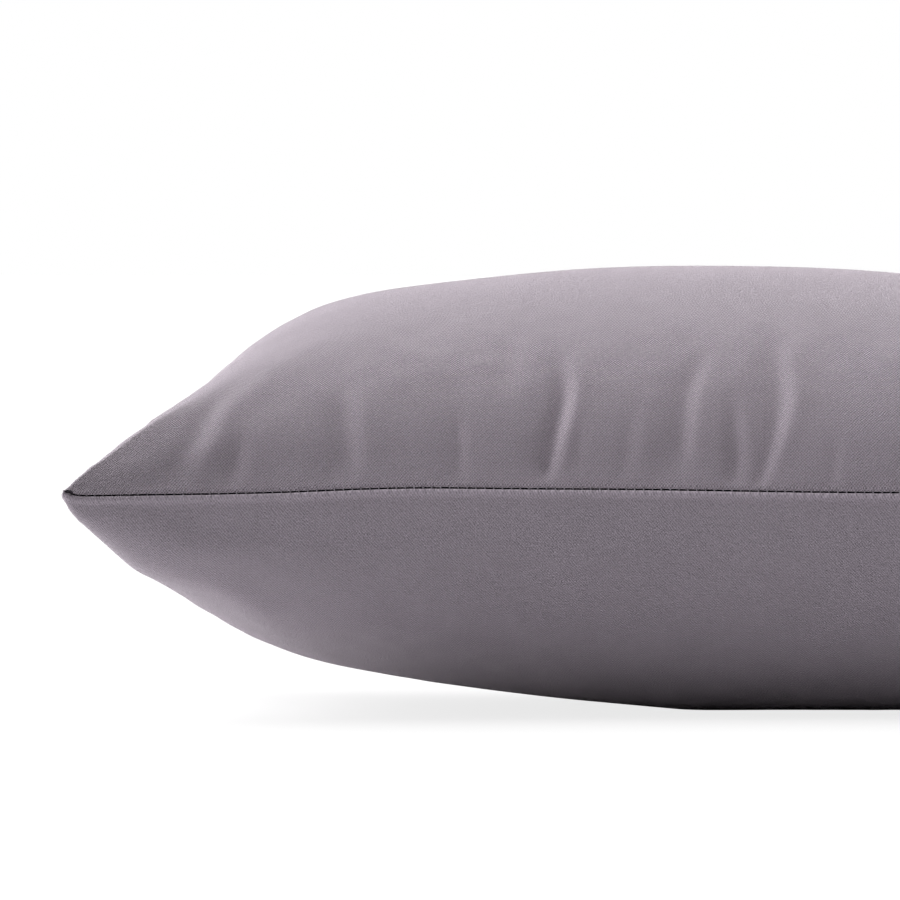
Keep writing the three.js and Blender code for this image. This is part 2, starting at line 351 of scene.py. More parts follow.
def from_seam(along, across):
    """Distance along the cloth to the nearest seam."""
    return np.minimum((HALF_LENGTH - np.abs(along))[:, None], (HALF_WIDTH - np.abs(across))[None, :])


def drawn_in_plan(along, across):
    """Plan of the cloth: every thread keeps its length, so the swell draws the sides in."""
    s = along[:, None] / HALF_LENGTH
    t = across[None, :] / HALF_WIDTH
    lengthwise = swell(s, MEAN_BOW, MEAN_ROUNDNESS)
    crosswise = swell(t, 0, CROSS_ROUNDNESS)
    rise = MEAN_RISE * join_swells(lengthwise, crosswise, FACE["corner_fill"])
    run_x = level_run(np.diff(along)[:, None], np.diff(rise, axis=0))
    run_y = level_run(np.diff(across)[None, :], np.diff(rise, axis=1))
    x = np.zeros_like(rise)
    y = np.zeros_like(rise)
    x[1:] = np.cumsum(run_x, axis=0)
    y[:, 1:] = np.cumsum(run_y, axis=1)
    x -= x[len(along) // 2].copy()
    y -= y[:, len(across) // 2, None].copy()
    back = CORNER_BLUNT * np.exp(-from_corner(along, across) / CORNER_REACH)
    return x - np.sign(x) * back, y - np.sign(y) * back


def seam_lift(x):
    """How far the seam stands above its mean height at a place along X."""
    lift = np.zeros_like(x)
    for at, width, height in SEAM_LIFTS:
        lift += height * MM * bell((x - at * MM) / (width * MM))
    return lift


def swelling_rise(swellings, along, across):
    """Soft raised and sunken places of a panel."""
    rise = np.zeros((len(along), len(across)))
    for at, over, reach_x, reach_y, height in swellings:
        off_x = (along[:, None] / MM - at) / reach_x
        off_y = (across[None, :] / MM - over) / reach_y
        rise += height * MM * bell(off_x) * bell(off_y)
    return rise * np.minimum(from_seam(along, across) / SEAM_FADE, 1)


def cloth_place(edge, along, across):
    """Distance into the panel from one side, and place along that side, in mm."""
    x = np.broadcast_to(along[:, None], (len(along), len(across))) / MM
    y = np.broadcast_to(across[None, :], (len(along), len(across))) / MM
    if edge == "front":
        return y + HALF_WIDTH / MM, x
    if edge == "rear":
        return HALF_WIDTH / MM - y, x
    if edge == "left":
        return x + HALF_LENGTH / MM, y
    return HALF_LENGTH / MM - x, y


def pucker_depth(panel, along, across):
    """Depth of the broad dents."""
    depth = np.zeros((len(along), len(across)))
    for name, edge, at, reach, width, deep, lean in PUCKERS:
        if name != panel["name"]:
            continue
        into, place = cloth_place(edge, along, across)
        off = (place - at - lean * into / reach) / (width / 2)
        fade = bell(into / reach) * np.minimum(into / (SEAM_FADE / MM), 1)
        depth += deep * MM * fade * bell(off)
    return depth


def eased(place, knots, values):
    """Values between the knots of a path, with its bends rounded."""
    before = np.interp(place - BEND_REACH, knots, values)
    after = np.interp(place + BEND_REACH, knots, values)
    return (before + after) / 4 + np.interp(place, knots, values) / 2


def crease_height(panel, along, across):
    """Height of the fine creases: a hollow on one side of each path and a ridge on the other."""
    height = np.zeros((len(along), len(across)))
    for name, edge, slope, path in CREASES:
        if name != panel["name"]:
            continue
        into, place = cloth_place(edge, along, across)
        deep, at, wide = np.array(path).T
        width = np.interp(into, deep, wide)
        off = (place - eased(into, deep, at)) / width
        begin = smooth_step((into - deep[0]) / (CREASE_BEGIN * width))
        end = smooth_step((deep[-1] - into) / (CREASE_END * (deep[-1] - deep[0])))
        height += slope * MM * begin * end * width * (off - CREASE_HOLLOW) * bell(off)
    return height


def ear_hollow(along, across):
    """Hollow of the two flat sides of each corner's ear, which leaves a ridge between them."""
    from_end = (HALF_LENGTH - np.abs(along))[:, None] * EAR_LEAN
    from_side = (HALF_WIDTH - np.abs(across))[None, :]
    low = np.minimum(from_end, from_side)
    high = np.maximum(np.maximum(from_end, from_side), TINY)
    fade = bell(from_corner(along, across) / EAR_REACH)
    return EAR_HOLLOW * high * fade * np.sin(math.pi * low / high)


def cloth_lines(half, step):
    """Places across a panel: a line through the middle, and close rows beside both seams."""
    rows = np.array(SEAM_ROWS) * MM
    inner = half - rows[-1]
    count = 2 * round(inner / (step * MM))
    middle = np.linspace(-inner, inner, count + 1)
    return np.concatenate([rows[:-1] - half, middle, half - rows[-2::-1]])


def smooth_panel(panel, along, across):
    """The panel's points before any dent."""
    x, y = drawn_in_plan(along, across)
    rise = panel_rise(panel, along[:, None] / HALF_LENGTH, across[None, :] / HALF_WIDTH)
    lift = seam_lift(x) * (1 - rise / panel["rise"])
    z = REST_DEPTH + lift + panel["side"] * rise
    if panel is FACE:
        slack = CORNER_SLACK * bell(from_corner(along, across) / SLACK_REACH)
        z = z + swelling_rise(SWELLINGS, along, across) - slack * rise
    else:
        z = z - swelling_rise(BACK_SWELLINGS, along, across)
    return np.stack([x, y, z], axis=-1)


def outward(panel, places):
    """Unit normals of a panel's grid of points."""
    normal = np.cross(np.gradient(places, axis=0), np.gradient(places, axis=1)) * panel["side"]
    return normal / np.maximum(np.linalg.norm(normal, axis=-1, keepdims=True), TINY)


def plan_inward(line, towards):
    """Level unit vectors square to one side's seam, pointing into the pillow."""
    tangent = np.gradient(line[:, :2], axis=0)
    tangent /= np.linalg.norm(tangent, axis=1, keepdims=True)
    square = np.stack([-tangent[:, 1], tangent[:, 0], np.zeros(len(line))], axis=1)
    return square * np.sign(square @ np.array(towards))[:, None]


def level_push(along, across, share):
    """Level vectors into the pillow, sized by each side's share at a distance from it, at most 1."""
    push = np.zeros((len(along), len(across), 3))
    push[..., 0] = (share(along + HALF_LENGTH) - share(HALF_LENGTH - along))[:, None]
    push[..., 1] = (share(across + HALF_WIDTH) - share(HALF_WIDTH - across))[None, :]
    return push / np.maximum(np.linalg.norm(push, axis=-1, keepdims=True), 1)


def slit_share(distance):
    """How far the cloth is turned into the slit, from 1 at the stitches to 0 on the lip."""
    return np.clip(1 - distance / LIP_WIDTH, 0, 1) ** LIP_CURL


def bead_share(distance):
    """The back panel's folded edge, a soft bead just below the slit."""
    return bell((distance - BEAD_AT) / BEAD_WIDTH)


def panel_places(panel, along, across, settling):
    """The finished points of one panel's cloth."""
    places = smooth_panel(panel, along, across)
    normal = outward(panel, places)
    relief = crease_height(panel, along, across) - pucker_depth(panel, along, across)
    into = from_seam(along, across)
    if panel is FACE:
        relief = relief - ear_hollow(along, across)
    else:
        relief = relief + ALLOWANCE_STEP * (1 - smooth_step((into - ALLOWANCE) / ALLOWANCE_EDGE + 0.5))
    fade = smooth_step(into / RELIEF_FADE)[..., None]
    finished = places + settling + normal * relief[..., None] * fade
    lip = smooth_step((into / LIP_WIDTH - LIP_START) / (1 - LIP_START))
    gap = panel["side"] * SLIT_HALF * np.minimum(into / (SLIT_OPENS * LIP_WIDTH), 1)
    seam_height = REST_DEPTH + seam_lift(places[..., 0])
    finished[..., 2] = seam_height + (finished[..., 2] - seam_height) * lip + gap * (1 - lip)
    tip = bell(from_corner(along, across) / TIP_REACH)[..., None]
    finished[..., 2:] += TIP_LIFT * tip
    finished += GROOVE_DEPTH * level_push(along, across, slit_share)
    bead = BEAD if panel is BACK else BEAD * tip
    finished -= bead * level_push(along, across, bead_share)
    finished[..., 2] = np.maximum(finished[..., 2], 0)
    return finished


def add_panel(name, along, across, places, material):
    """A grid of cloth laid over the given points, with its flat cut as its UV map."""
    deselect_all()
    columns = len(along) - 1
    rows = len(across) - 1
    bpy.ops.mesh.primitive_grid_add(x_subdivisions=columns, y_subdivisions=rows, size=2)
    panel = bpy.context.object
    panel.name = name
    mesh = panel.data
    flat = np.empty(len(mesh.vertices) * 3)
    mesh.vertices.foreach_get("co", flat)
    flat = flat.reshape(-1, 3)
    column = np.rint((flat[:, 0] + 1) / 2 * columns).astype(int)
    row = np.rint((flat[:, 1] + 1) / 2 * rows).astype(int)
    mesh.vertices.foreach_set("co", places[column, row].ravel())
    corner = np.empty(len(mesh.loops), dtype=np.int32)
    mesh.loops.foreach_get("vertex_index", corner)
    cut = np.stack([along[column[corner]], across[row[corner]]], axis=1)
    mesh.uv_layers[0].name = "cloth"
    mesh.uv_layers[0].data.foreach_set("uv", cut.ravel())
    mesh.materials.append(material)
    mesh.update()
    return panel


def sew(name, face, back):
    """Joins the two panels along their shared edge into one closed cover."""
    deselect_all()
    back.select_set(True)
    face.select_set(True)
    bpy.context.view_layer.objects.active = face
    bpy.ops.object.join()
    bpy.ops.object.mode_set(mode="EDIT")
    bpy.ops.mesh.select_all(action="SELECT")
    bpy.ops.mesh.remove_doubles(threshold=WELD)
    bpy.ops.mesh.normals_make_consistent(inside=False)
    bpy.ops.object.mode_set(mode="OBJECT")
    bpy.ops.object.shade_smooth()
    face.name = name
    return face


def mesh_array(collection, label, width, kind=np.float64):
    """One property of all of a mesh's elements, as a row of numbers for each."""
    values = np.empty(len(collection) * width, dtype=kind)
    collection.foreach_get(label, values)
    return values.reshape(-1, width) if width > 1 else values


def fill_cover(cover, gathered, held):
    """Blows the sewn cover up by cloth simulation. Its threads have the gathered shape's lengths."""
    cover.shape_key_add(name="Basis")
    rest = cover.shape_key_add(name="gathered")
    rest.data.foreach_set("co", gathered.ravel())
    rest.value = 0
    seam = cover.vertex_groups.new(name="seam")
    seam.add(held, 1.0, "REPLACE")
    cloth = cover.modifiers.new("filling", "CLOTH")
    cloth.settings.quality = 6
    cloth.settings.mass = 0.12
    cloth.settings.tension_stiffness = 30
    cloth.settings.compression_stiffness = 30
    cloth.settings.shear_stiffness = 3
    cloth.settings.bending_stiffness = 0.2
    cloth.settings.tension_damping = 25
    cloth.settings.compression_damping = 25
    cloth.settings.bending_damping = 2
    cloth.settings.air_damping = 8
    cloth.settings.shrink_min = 0.012
    cloth.settings.use_pressure = True
    cloth.settings.uniform_pressure_force = SETTLE_PRESSURE
    cloth.settings.effector_weights.gravity = 0
    cloth.settings.rest_shape_key = rest
    cloth.settings.vertex_group_mass = "seam"
    cloth.point_cache.frame_start = 1
    cloth.point_cache.frame_end = SETTLE_FRAMES
    scene = bpy.context.scene
    for step in range(1, SETTLE_FRAMES + 1):
        scene.frame_set(step)
    filled = cover.evaluated_get(bpy.context.evaluated_depsgraph_get())
    places = mesh_array(filled.data.vertices, "co", 3)
    scene.frame_set(1)
    return places


def blurred(grid, spacing, axis):
    """A grid smoothed along one axis, its edges held."""
    reach = int(3 * SETTLE_BLUR / spacing)
    weight = np.exp(-0.5 * ((np.arange(-reach, reach + 1) * spacing / SETTLE_BLUR) ** 2))
    weight /= weight.sum()
    pad = [(0, 0)] * grid.ndim
    pad[axis] = (reach, reach)
    wide = np.pad(grid, pad, mode="reflect")
    return sum(w * np.take(wide, range(k, k + grid.shape[axis]), axis=axis) for k, w in enumerate(weight))


def along_seams(grid, x, y):
    """What changes along the nearest seam: the puckers, without the rolls that run beside it."""
    from_end = (HALF_LENGTH - np.abs(x))[:, None]
    from_side = (HALF_WIDTH - np.abs(y))[None, :]
    long_side = smooth_step(0.5 + (from_end - from_side) / SEAM_BLEND)[..., None]
    by_long_side = grid - blurred(grid, x[1] - x[0], 0)
    by_short_side = grid - blurred(grid, y[1] - y[0], 1)
    return long_side * by_long_side + (1 - long_side) * by_short_side


def spline_weights(lines, knots):
    """Weights that carry values at even knots smoothly to other lines."""
    spot = (lines - knots[0]) / (knots[1] - knots[0])
    base = np.clip(np.floor(spot).astype(int), 0, len(knots) - 2)
    f = spot - base
    shares = [(1 - f) ** 3 / 6, (3 * f ** 3 - 6 * f * f + 4) / 6]
    shares += [(-3 * f ** 3 + 3 * f * f + 3 * f + 1) / 6, f ** 3 / 6]
    weights = np.zeros((len(lines), len(knots)))
    for k, share in enumerate(shares):
        np.add.at(weights, (np.arange(len(lines)), np.clip(base + k - 1, 0, len(knots) - 1)), share)
    return weights


def coarse_cover(x, y, face_twill, back_twill):
    """A plain cover on an even grid, for the simulation."""
    face = add_panel("settling_face", x, y, smooth_panel(FACE, x, y), face_twill)
    back = add_panel("settling_back", x, y, smooth_panel(BACK, x, y), back_twill)
    return sew("settling_cover", face, back)


def gathered_shape(start, cut):
    """The cover's points with spare cloth along every seam, less of it on the back."""
    spare = GATHER * np.where(start[:, 2] >= REST_DEPTH, 1.0, BACK_GATHER)
    gathered = start.copy()
    gathered[:, 0] *= 1 + spare * bell((HALF_WIDTH - np.abs(cut[:, 1])) / GATHER_REACH)
    gathered[:, 1] *= 1 + spare * bell((HALF_LENGTH - np.abs(cut[:, 0])) / GATHER_REACH)
    return gathered


def local_puckers(moved, x, y):
    """What changes along the seams in one panel's movement, up to a cap."""
    local = along_seams(moved, x, y)
    size = np.linalg.norm(local, axis=-1, keepdims=True)
    return local * (SETTLE_CAP * np.tanh(size / SETTLE_CAP) / np.maximum(size, TINY))


def settled_puckers(along, across, face_twill, back_twill):
    """Small puckers of both panels, from a coarse cover blown up by simulation, without its large form."""
    x = np.linspace(-HALF_LENGTH, HALF_LENGTH, SETTLE_COLUMNS + 1)
    y = np.linspace(-HALF_WIDTH, HALF_WIDTH, SETTLE_ROWS + 1)
    cover = coarse_cover(x, y, face_twill, back_twill)
    mesh = cover.data
    start = mesh_array(mesh.vertices, "co", 3)
    vertex = mesh_array(mesh.loops, "vertex_index", 1, np.int32)
    place = mesh_array(mesh.uv_layers["cloth"].data, "uv", 2)
    panel = np.repeat(mesh_array(mesh.polygons, "material_index", 1, np.int32), 4)
    cut = np.zeros((len(start), 2))
    cut[vertex] = place
    edge = np.minimum(HALF_LENGTH - np.abs(cut[:, 0]), HALF_WIDTH - np.abs(cut[:, 1])) < ON_SEAM
    moved = fill_cover(cover, gathered_shape(start, cut), np.flatnonzero(edge).tolist()) - start
    column = np.rint((place[:, 0] - x[0]) / (x[1] - x[0])).astype(int)
    row = np.rint((place[:, 1] - y[0]) / (y[1] - y[0])).astype(int)
    to_x = spline_weights(along, x)
    to_y = spline_weights(across, y)
    into = from_seam(along, across)
    fade = smooth_step(into / SEAM_FADE) * bell(into / SETTLE_REACH)
    kept = []
    for number in (0, 1):
        grid = np.zeros((len(x), len(y), 3))
        mine = panel == number
        grid[column[mine], row[mine]] = moved[vertex[mine]]
        fine = np.einsum("ai,ijc,bj->abc", to_x, local_puckers(grid, x, y), to_y, optimize=True)
        kept.append(fine * fade[..., None])
    deselect_all()
    cover.select_set(True)
    bpy.ops.object.delete()
    return kept


def make_cover(along, across):
    """The sewn cover of face and back, its slit painted near-black as shade."""
    face_twill = face_cloth()
    back_twill = back_cloth()
    on_face, on_back = settled_puckers(along, across, face_twill, back_twill)
    face = add_panel("face_panel", along, across, panel_places(FACE, along, across, on_face), face_twill)
    back = add_panel("back_panel", along, across, panel_places(BACK, along, across, on_back), back_twill)
    cover = sew("pillow_cover", face, back)
    paint_slit_shade(cover)
    return cover


def paint_slit_shade(cover):
    """Paints the faces deep in the slit near-black, as the shade inside it."""
    mesh = cover.data
    place = np.abs(mesh_array(mesh.uv_layers["cloth"].data, "uv", 2)).reshape(-1, 4, 2).mean(axis=1)
    into = np.minimum(HALF_LENGTH - place[:, 0], HALF_WIDTH - place[:, 1])
    index = mesh_array(mesh.polygons, "material_index", 1, np.int32)
    index[into < SLIT_INSIDE] = len(mesh.materials)
    mesh.materials.append(slit_painted_shade())
    mesh.polygons.foreach_set("material_index", index)
    mesh.update()


def seam_sides(along, across):
    """The four sides of the seam: places along the cloth, their points and their level outward vectors."""
    places = smooth_panel(FACE, along, across)
    places[..., 2] += TIP_LIFT * bell(from_corner(along, across) / TIP_REACH)
    return [
        (along, places[:, 0], -plan_inward(places[:, 0], (0, 1, 0))),
        (along, places[:, -1], -plan_inward(places[:, -1], (0, -1, 0))),
        (across, places[0], -plan_inward(places[0], (1, 0, 0))),
        (across, places[-1], -plan_inward(places[-1], (-1, 0, 0))),
    ]


def model_stitch():
    """One stitch: half a ring of thread that bridges the slit, open towards -Y."""
    deselect_all()
    bpy.ops.mesh.primitive_torus_add(
        major_radius=STITCH_LOOP,
        minor_radius=THREAD_RADIUS,
        major_segments=RING_PARTS,
        minor_segments=THREAD_SIDES,
        rotation=(0, math.pi / 2, 0),
    )
    stitch = bpy.context.object
    bpy.ops.object.transform_apply(location=False, rotation=True, scale=False)
    bpy.ops.object.mode_set(mode="EDIT")
    bpy.ops.mesh.select_all(action="SELECT")
    cut_off = (0, -STITCH_CUT * STITCH_LOOP, 0)
    bpy.ops.mesh.bisect(plane_co=cut_off, plane_no=(0, 1, 0), use_fill=True, clear_inner=True)
    bpy.ops.object.mode_set(mode="OBJECT")
    bpy.ops.object.shade_smooth()
    stitch.data.materials.append(seam_thread())
    return stitch


def make_stitches(along, across):
    """Copies of one stitch along all four sides, a pitch apart, joined into one piece."""
    pattern = model_stitch()
    copies = []
    for cloth, line, out in seam_sides(along, across):
        count = int((cloth[-1] - STITCH_END) / STITCH_PITCH)
        for number in range(-count, count):
            spot = (number + 0.5) * STITCH_PITCH
            outside = Vector([np.interp(spot, cloth, out[:, axis]) for axis in range(3)]).normalized()
            centre = Vector([np.interp(spot, cloth, line[:, axis]) for axis in range(3)])
            askew = STITCH_SLANT + sum(size * math.sin(turn * number) for size, turn in SLANT_WAVES)
            sunk = STITCH_SINK * bell((cloth[-1] - abs(spot)) / SINK_REACH)
            depth = STITCH_IN + sunk + STITCH_UNEVEN * math.sin(UNEVEN_TURN * number)
            sideways = outside.cross((0, 0, 1))
            copy = pattern.copy()
            copy.data = pattern.data.copy()
            copy.matrix_world = (
                Matrix.Translation(centre - outside * depth)
                @ Matrix.Rotation(askew, 4, outside)
                @ Matrix((sideways, outside, (0, 0, 1))).transposed().to_4x4()
            )
            bpy.context.collection.objects.link(copy)
            copies.append(copy)
    deselect_all()
    for copy in copies:
        copy.select_set(True)
    bpy.context.view_layer.objects.active = copies[0]
    bpy.ops.object.join()
    bpy.ops.object.transform_apply()
    stitches = bpy.context.object
    stitches.name = "seam_stitches"
    deselect_all()
    pattern.select_set(True)
    bpy.ops.object.delete()
    return stitches


def new_group(name, inputs, outputs):
    """An empty shader node group with float sockets after its one vector input."""
    group = bpy.data.node_groups.new(name, "ShaderNodeTree")
    group.interface.new_socket("Cloth", in_out="INPUT", socket_type="NodeSocketVector")
    for label, value in inputs:
        socket = group.interface.new_socket(label, in_out="INPUT", socket_type="NodeSocketFloat")
        socket.default_value = value
    for label in outputs:
        group.interface.new_socket(label, in_out="OUTPUT", socket_type="NodeSocketFloat")
    return group, group.nodes.new("NodeGroupInput"), group.nodes.new("NodeGroupOutput")


def feed(tree, value, socket):
    """Links a node's output to a socket, or sets a plain number on it."""
    if isinstance(value, (int, float)):
        socket.default_value = value
    else:
        tree.links.new(value, socket)


def math_node(tree, operation, first, second=None, third=None):
    """The result of one sum on up to three outputs or plain numbers."""
    node = tree.nodes.new("ShaderNodeMath")
    node.operation = operation
    feed(tree, first, node.inputs[0])
    if second is not None:
        feed(tree, second, node.inputs[1])
    if third is not None:
        feed(tree, third, node.inputs[2])
    return node.outputs[0]


def scaled(tree, vector, x, y):
    """A cloth place stretched by x and y, as a vector for a texture."""
    node = tree.nodes.new("ShaderNodeVectorMath")
    node.operation = "MULTIPLY"
    tree.links.new(vector, node.inputs[0])
    node.inputs[1].default_value = (x, y, 1)
    return node.outputs[0]


def noise_node(tree, vector, scale, detail=2.0):
    """A soft noise from 0 to 1."""
    node = tree.nodes.new("ShaderNodeTexNoise")
    node.inputs["Scale"].default_value = scale
    node.inputs["Detail"].default_value = detail
    node.inputs["Roughness"].default_value = 0.5
    tree.links.new(vector, node.inputs["Vector"])
    return node.outputs["Fac"]


def between(tree, value, low, high):
    """A value from 0 to 1 carried to the range from low to high."""
    return math_node(tree, "MULTIPLY_ADD", value, high - low, low)


def twill_weave_group():
    """Fine twill: two sets of diagonals and the grain of single floats, as one height."""
    inputs = [("Spacing", 1.05), ("Falling", 1.0), ("Rising", 0.6), ("Grain", 1.0)]
    tree, given, put = new_group("twill_weave", inputs, ["Height"])
    cloth = scaled(tree, given.outputs["Cloth"], PER_METRE, PER_METRE)
    split = tree.nodes.new("ShaderNodeSeparateXYZ")
    tree.links.new(cloth, split.inputs[0])
    drift = between(tree, noise_node(tree, cloth, scale=0.6), -0.55, 0.55)
    x = math_node(tree, "ADD", split.outputs["X"], drift)
    y = split.outputs["Y"]
    turn = math_node(tree, "DIVIDE", math.tau, given.outputs["Spacing"])
    falling = math_node(tree, "SINE", math_node(tree, "MULTIPLY", math_node(tree, "SUBTRACT", x, y), turn))
    rising = math_node(tree, "SINE", math_node(tree, "MULTIPLY", math_node(tree, "ADD", x, y), turn))
    both = math_node(tree, "MULTIPLY", falling, given.outputs["Falling"])
    both = math_node(tree, "ADD", both, math_node(tree, "MULTIPLY", rising, given.outputs["Rising"]))
    patchy = between(tree, noise_node(tree, cloth, scale=0.8), 0.2, 1.8)
    floats = between(tree, noise_node(tree, cloth, scale=1.5, detail=1.0), -0.5, 0.5)
    floats = math_node(tree, "MULTIPLY", floats, given.outputs["Grain"])
    height = math_node(tree, "MULTIPLY_ADD", both, patchy, floats)
    tree.links.new(height, put.inputs["Height"])
    return tree


def seam_gather_group():
    """Small gathers beside the seam, one between each two stitches, fading into the panel."""
    tree, given, put = new_group("seam_gathers", [("Reach", 3.0)], ["Height", "Edge"])
    split = tree.nodes.new("ShaderNodeSeparateXYZ")
    tree.links.new(given.outputs["Cloth"], split.inputs[0])
    u = split.outputs["X"]
    v = split.outputs["Y"]
    from_end = math_node(tree, "SUBTRACT", HALF_LENGTH, math_node(tree, "ABSOLUTE", u))
    from_side = math_node(tree, "SUBTRACT", HALF_WIDTH, math_node(tree, "ABSOLUTE", v))
    by_side = math_node(tree, "LESS_THAN", from_side, from_end)
    run = math_node(tree, "MULTIPLY_ADD", math_node(tree, "SUBTRACT", u, v), by_side, v)
    into = math_node(tree, "MULTIPLY", math_node(tree, "MINIMUM", from_end, from_side), PER_METRE)
    fade = math_node(tree, "SUBTRACT", 1.0, math_node(tree, "DIVIDE", into, given.outputs["Reach"]))
    fade = math_node(tree, "POWER", math_node(tree, "MAXIMUM", fade, 0.0), 2.0)
    wave = math_node(tree, "COSINE", math_node(tree, "MULTIPLY", run, math.tau / STITCH_PITCH))
    tree.links.new(math_node(tree, "MULTIPLY", wave, fade), put.inputs["Height"])
    tree.links.new(fade, put.inputs["Edge"])
    return tree


def yarn_tone_group():
    """Slow changes of tone: single yarns both ways, and a faint cloud over the cloth."""
    tree, given, put = new_group("yarn_tone", [("Yarns", 0.1), ("Cloud", 0.08)], ["Tone"])
    cloth = given.outputs["Cloth"]
    warp = noise_node(tree, scaled(tree, cloth, YARN_FINE, YARN_LONG), scale=1.0)
    weft = noise_node(tree, scaled(tree, cloth, YARN_LONG, YARN_FINE), scale=1.0)
    cloud = noise_node(tree, scaled(tree, cloth, PER_METRE, PER_METRE), scale=0.045, detail=3.0)
    yarns = math_node(tree, "ADD", math_node(tree, "ADD", warp, weft), -1.0)
    tone = math_node(tree, "MULTIPLY_ADD", yarns, given.outputs["Yarns"], 1.0)
    cloud = math_node(tree, "MULTIPLY", between(tree, cloud, -0.5, 0.5), given.outputs["Cloud"])
    tree.links.new(math_node(tree, "ADD", tone, cloud), put.inputs["Tone"])
    return tree


def lint_group():
    """A few pale specks of lint."""
    tree, given, put = new_group("lint_specks", [("Size", 0.3)], ["Speck"])
    cells = tree.nodes.new("ShaderNodeTexVoronoi")
    cells.inputs["Scale"].default_value = LINT_CELLS
    tree.links.new(scaled(tree, given.outputs["Cloth"], PER_METRE, PER_METRE), cells.inputs["Vector"])
    pick = tree.nodes.new("ShaderNodeSeparateColor")
    tree.links.new(cells.outputs["Color"], pick.inputs[0])
    chosen = math_node(tree, "GREATER_THAN", pick.outputs[0], LINT_RARE)
    large = math_node(tree, "ADD", pick.outputs[1], LINT_LEAST)
    reach = math_node(tree, "MULTIPLY", given.outputs["Size"], large)
    far = math_node(tree, "MULTIPLY", cells.outputs["Distance"], 1 / LINT_CELLS)
    speck = math_node(tree, "SUBTRACT", 1.0, math_node(tree, "DIVIDE", far, reach))
    speck = math_node(tree, "MAXIMUM", speck, 0.0)
    tree.links.new(math_node(tree, "MULTIPLY", speck, chosen), put.inputs["Speck"])
    return tree


def place_group(tree, name, maker, cloth, values):
    """Places a shared group in a material, made at its first use, with the material's own values."""
    node = tree.nodes.new("ShaderNodeGroup")
    node.node_tree = bpy.data.node_groups.get(name) or maker()
    tree.links.new(cloth, node.inputs["Cloth"])
    for label, value in values.items():
        node.inputs[label].default_value = value
    return node


def dye(tree, colour, tone, shader):
    """Gives a shader the dyed colour, lighter or darker by the tone."""
    dyed = tree.nodes.new("ShaderNodeVectorMath")
    dyed.operation = "SCALE"
    dyed.inputs[0].default_value = colour
    tree.links.new(tone, dyed.inputs["Scale"])
    tree.links.new(dyed.outputs[0], shader.inputs["Base Color"])


def cloth_material(name, colour, falling, rising, grain, shade, relief, gather, edge, nap):
    """Matte outdoor twill on the flat cut's own UV map, with painted shade and highlight on its gathers
    and a painted highlight along its sewn edge where edge is set.
    """
    material = bpy.data.materials.new(name)
    material.use_nodes = True
    tree = material.node_tree
    shader = tree.nodes["Principled BSDF"]
    cut = tree.nodes.new("ShaderNodeUVMap")
    cut.uv_map = "cloth"
    cloth = cut.outputs["UV"]
    twill = {"Falling": falling, "Rising": rising, "Grain": grain}
    weave = place_group(tree, "twill_weave", twill_weave_group, cloth, twill)
    gathers = place_group(tree, "seam_gathers", seam_gather_group, cloth, {"Reach": 3.0})
    yarn = place_group(tree, "yarn_tone", yarn_tone_group, cloth, {"Yarns": 0.12, "Cloud": 0.10})
    lint = place_group(tree, "lint_specks", lint_group, cloth, {"Size": 0.34})
    tone = math_node(tree, "MULTIPLY_ADD", weave.outputs["Height"], shade, yarn.outputs["Tone"])
    # Painted shade and highlight of the gathers: darker in their hollows, paler on their crests
    tone = math_node(tree, "MULTIPLY_ADD", gathers.outputs["Height"], GATHER_PAINTED_SHADE * gather, tone)
    # Edge: a painted highlight along the sewn edge, standing for light on the back panel's folded bead
    tone = math_node(tree, "MULTIPLY_ADD", gathers.outputs["Edge"], edge, tone)
    tone = math_node(tree, "MULTIPLY_ADD", lint.outputs["Speck"], LINT_PALER, tone)
    dye(tree, colour, tone, shader)
    bump = tree.nodes.new("ShaderNodeBump")
    bump.inputs["Strength"].default_value = 1.0
    bump.inputs["Distance"].default_value = relief
    tree.links.new(weave.outputs["Height"], bump.inputs["Height"])
    gathered = tree.nodes.new("ShaderNodeBump")
    gathered.inputs["Strength"].default_value = 1.0
    gathered.inputs["Distance"].default_value = GATHER_RELIEF * gather
    tree.links.new(gathers.outputs["Height"], gathered.inputs["Height"])
    tree.links.new(gathered.outputs["Normal"], bump.inputs["Normal"])
    tree.links.new(bump.outputs["Normal"], shader.inputs["Normal"])
    shader.inputs["Roughness"].default_value = 0.88
    shader.inputs["Specular IOR Level"].default_value = 0.3
    shader.inputs["Sheen Weight"].default_value = nap
    shader.inputs["Sheen Roughness"].default_value = 0.5
    shader.inputs["Sheen Tint"].default_value = (1.0, 0.9, 0.98, 1)
    return material


def face_cloth():
    """Mauve-grey twill with a soft nap."""
    return cloth_material(
        "face_cloth",
        colour=(0.238, 0.206, 0.241),
        falling=0.8,
        rising=0.7,
        grain=2.4,
        shade=0.32,
        relief=0.1 * MM,
        gather=0.25,
        edge=0.0,
        nap=1.0,
    )


def back_cloth():
    """The same twill underneath, with less nap and a painted highlight along its sewn edge, standing for
    light on its folded bead.
    """
    return cloth_material(
        "back_cloth",
        colour=(0.240, 0.209, 0.244),
        falling=0.6,
        rising=0.3,
        grain=2.6,
        shade=0.28,
        relief=0.09 * MM,
        gather=0.3,
        edge=0.6,
        nap=0.55,
    )


def yarn_material(name, colour, roughness):
    """Plain dyed yarn with uneven tone and no nap, also used near-black as the slit's painted shade."""
    material = bpy.data.materials.new(name)
    material.use_nodes = True
    tree = material.node_tree
    shader = tree.nodes["Principled BSDF"]
    place = tree.nodes.new("ShaderNodeTexCoord").outputs["Object"]
    yarn = place_group(tree, "yarn_tone", yarn_tone_group, place, {"Yarns": 0.3, "Cloud": 0.3})
    dye(tree, colour, yarn.outputs["Tone"], shader)
    shader.inputs["Roughness"].default_value = roughness
    shader.inputs["Specular IOR Level"].default_value = 0.2
    return material


def seam_thread():
    """Matching sewing thread."""
    return yarn_material("seam_thread", colour=(0.225, 0.203, 0.23), roughness=0.6)


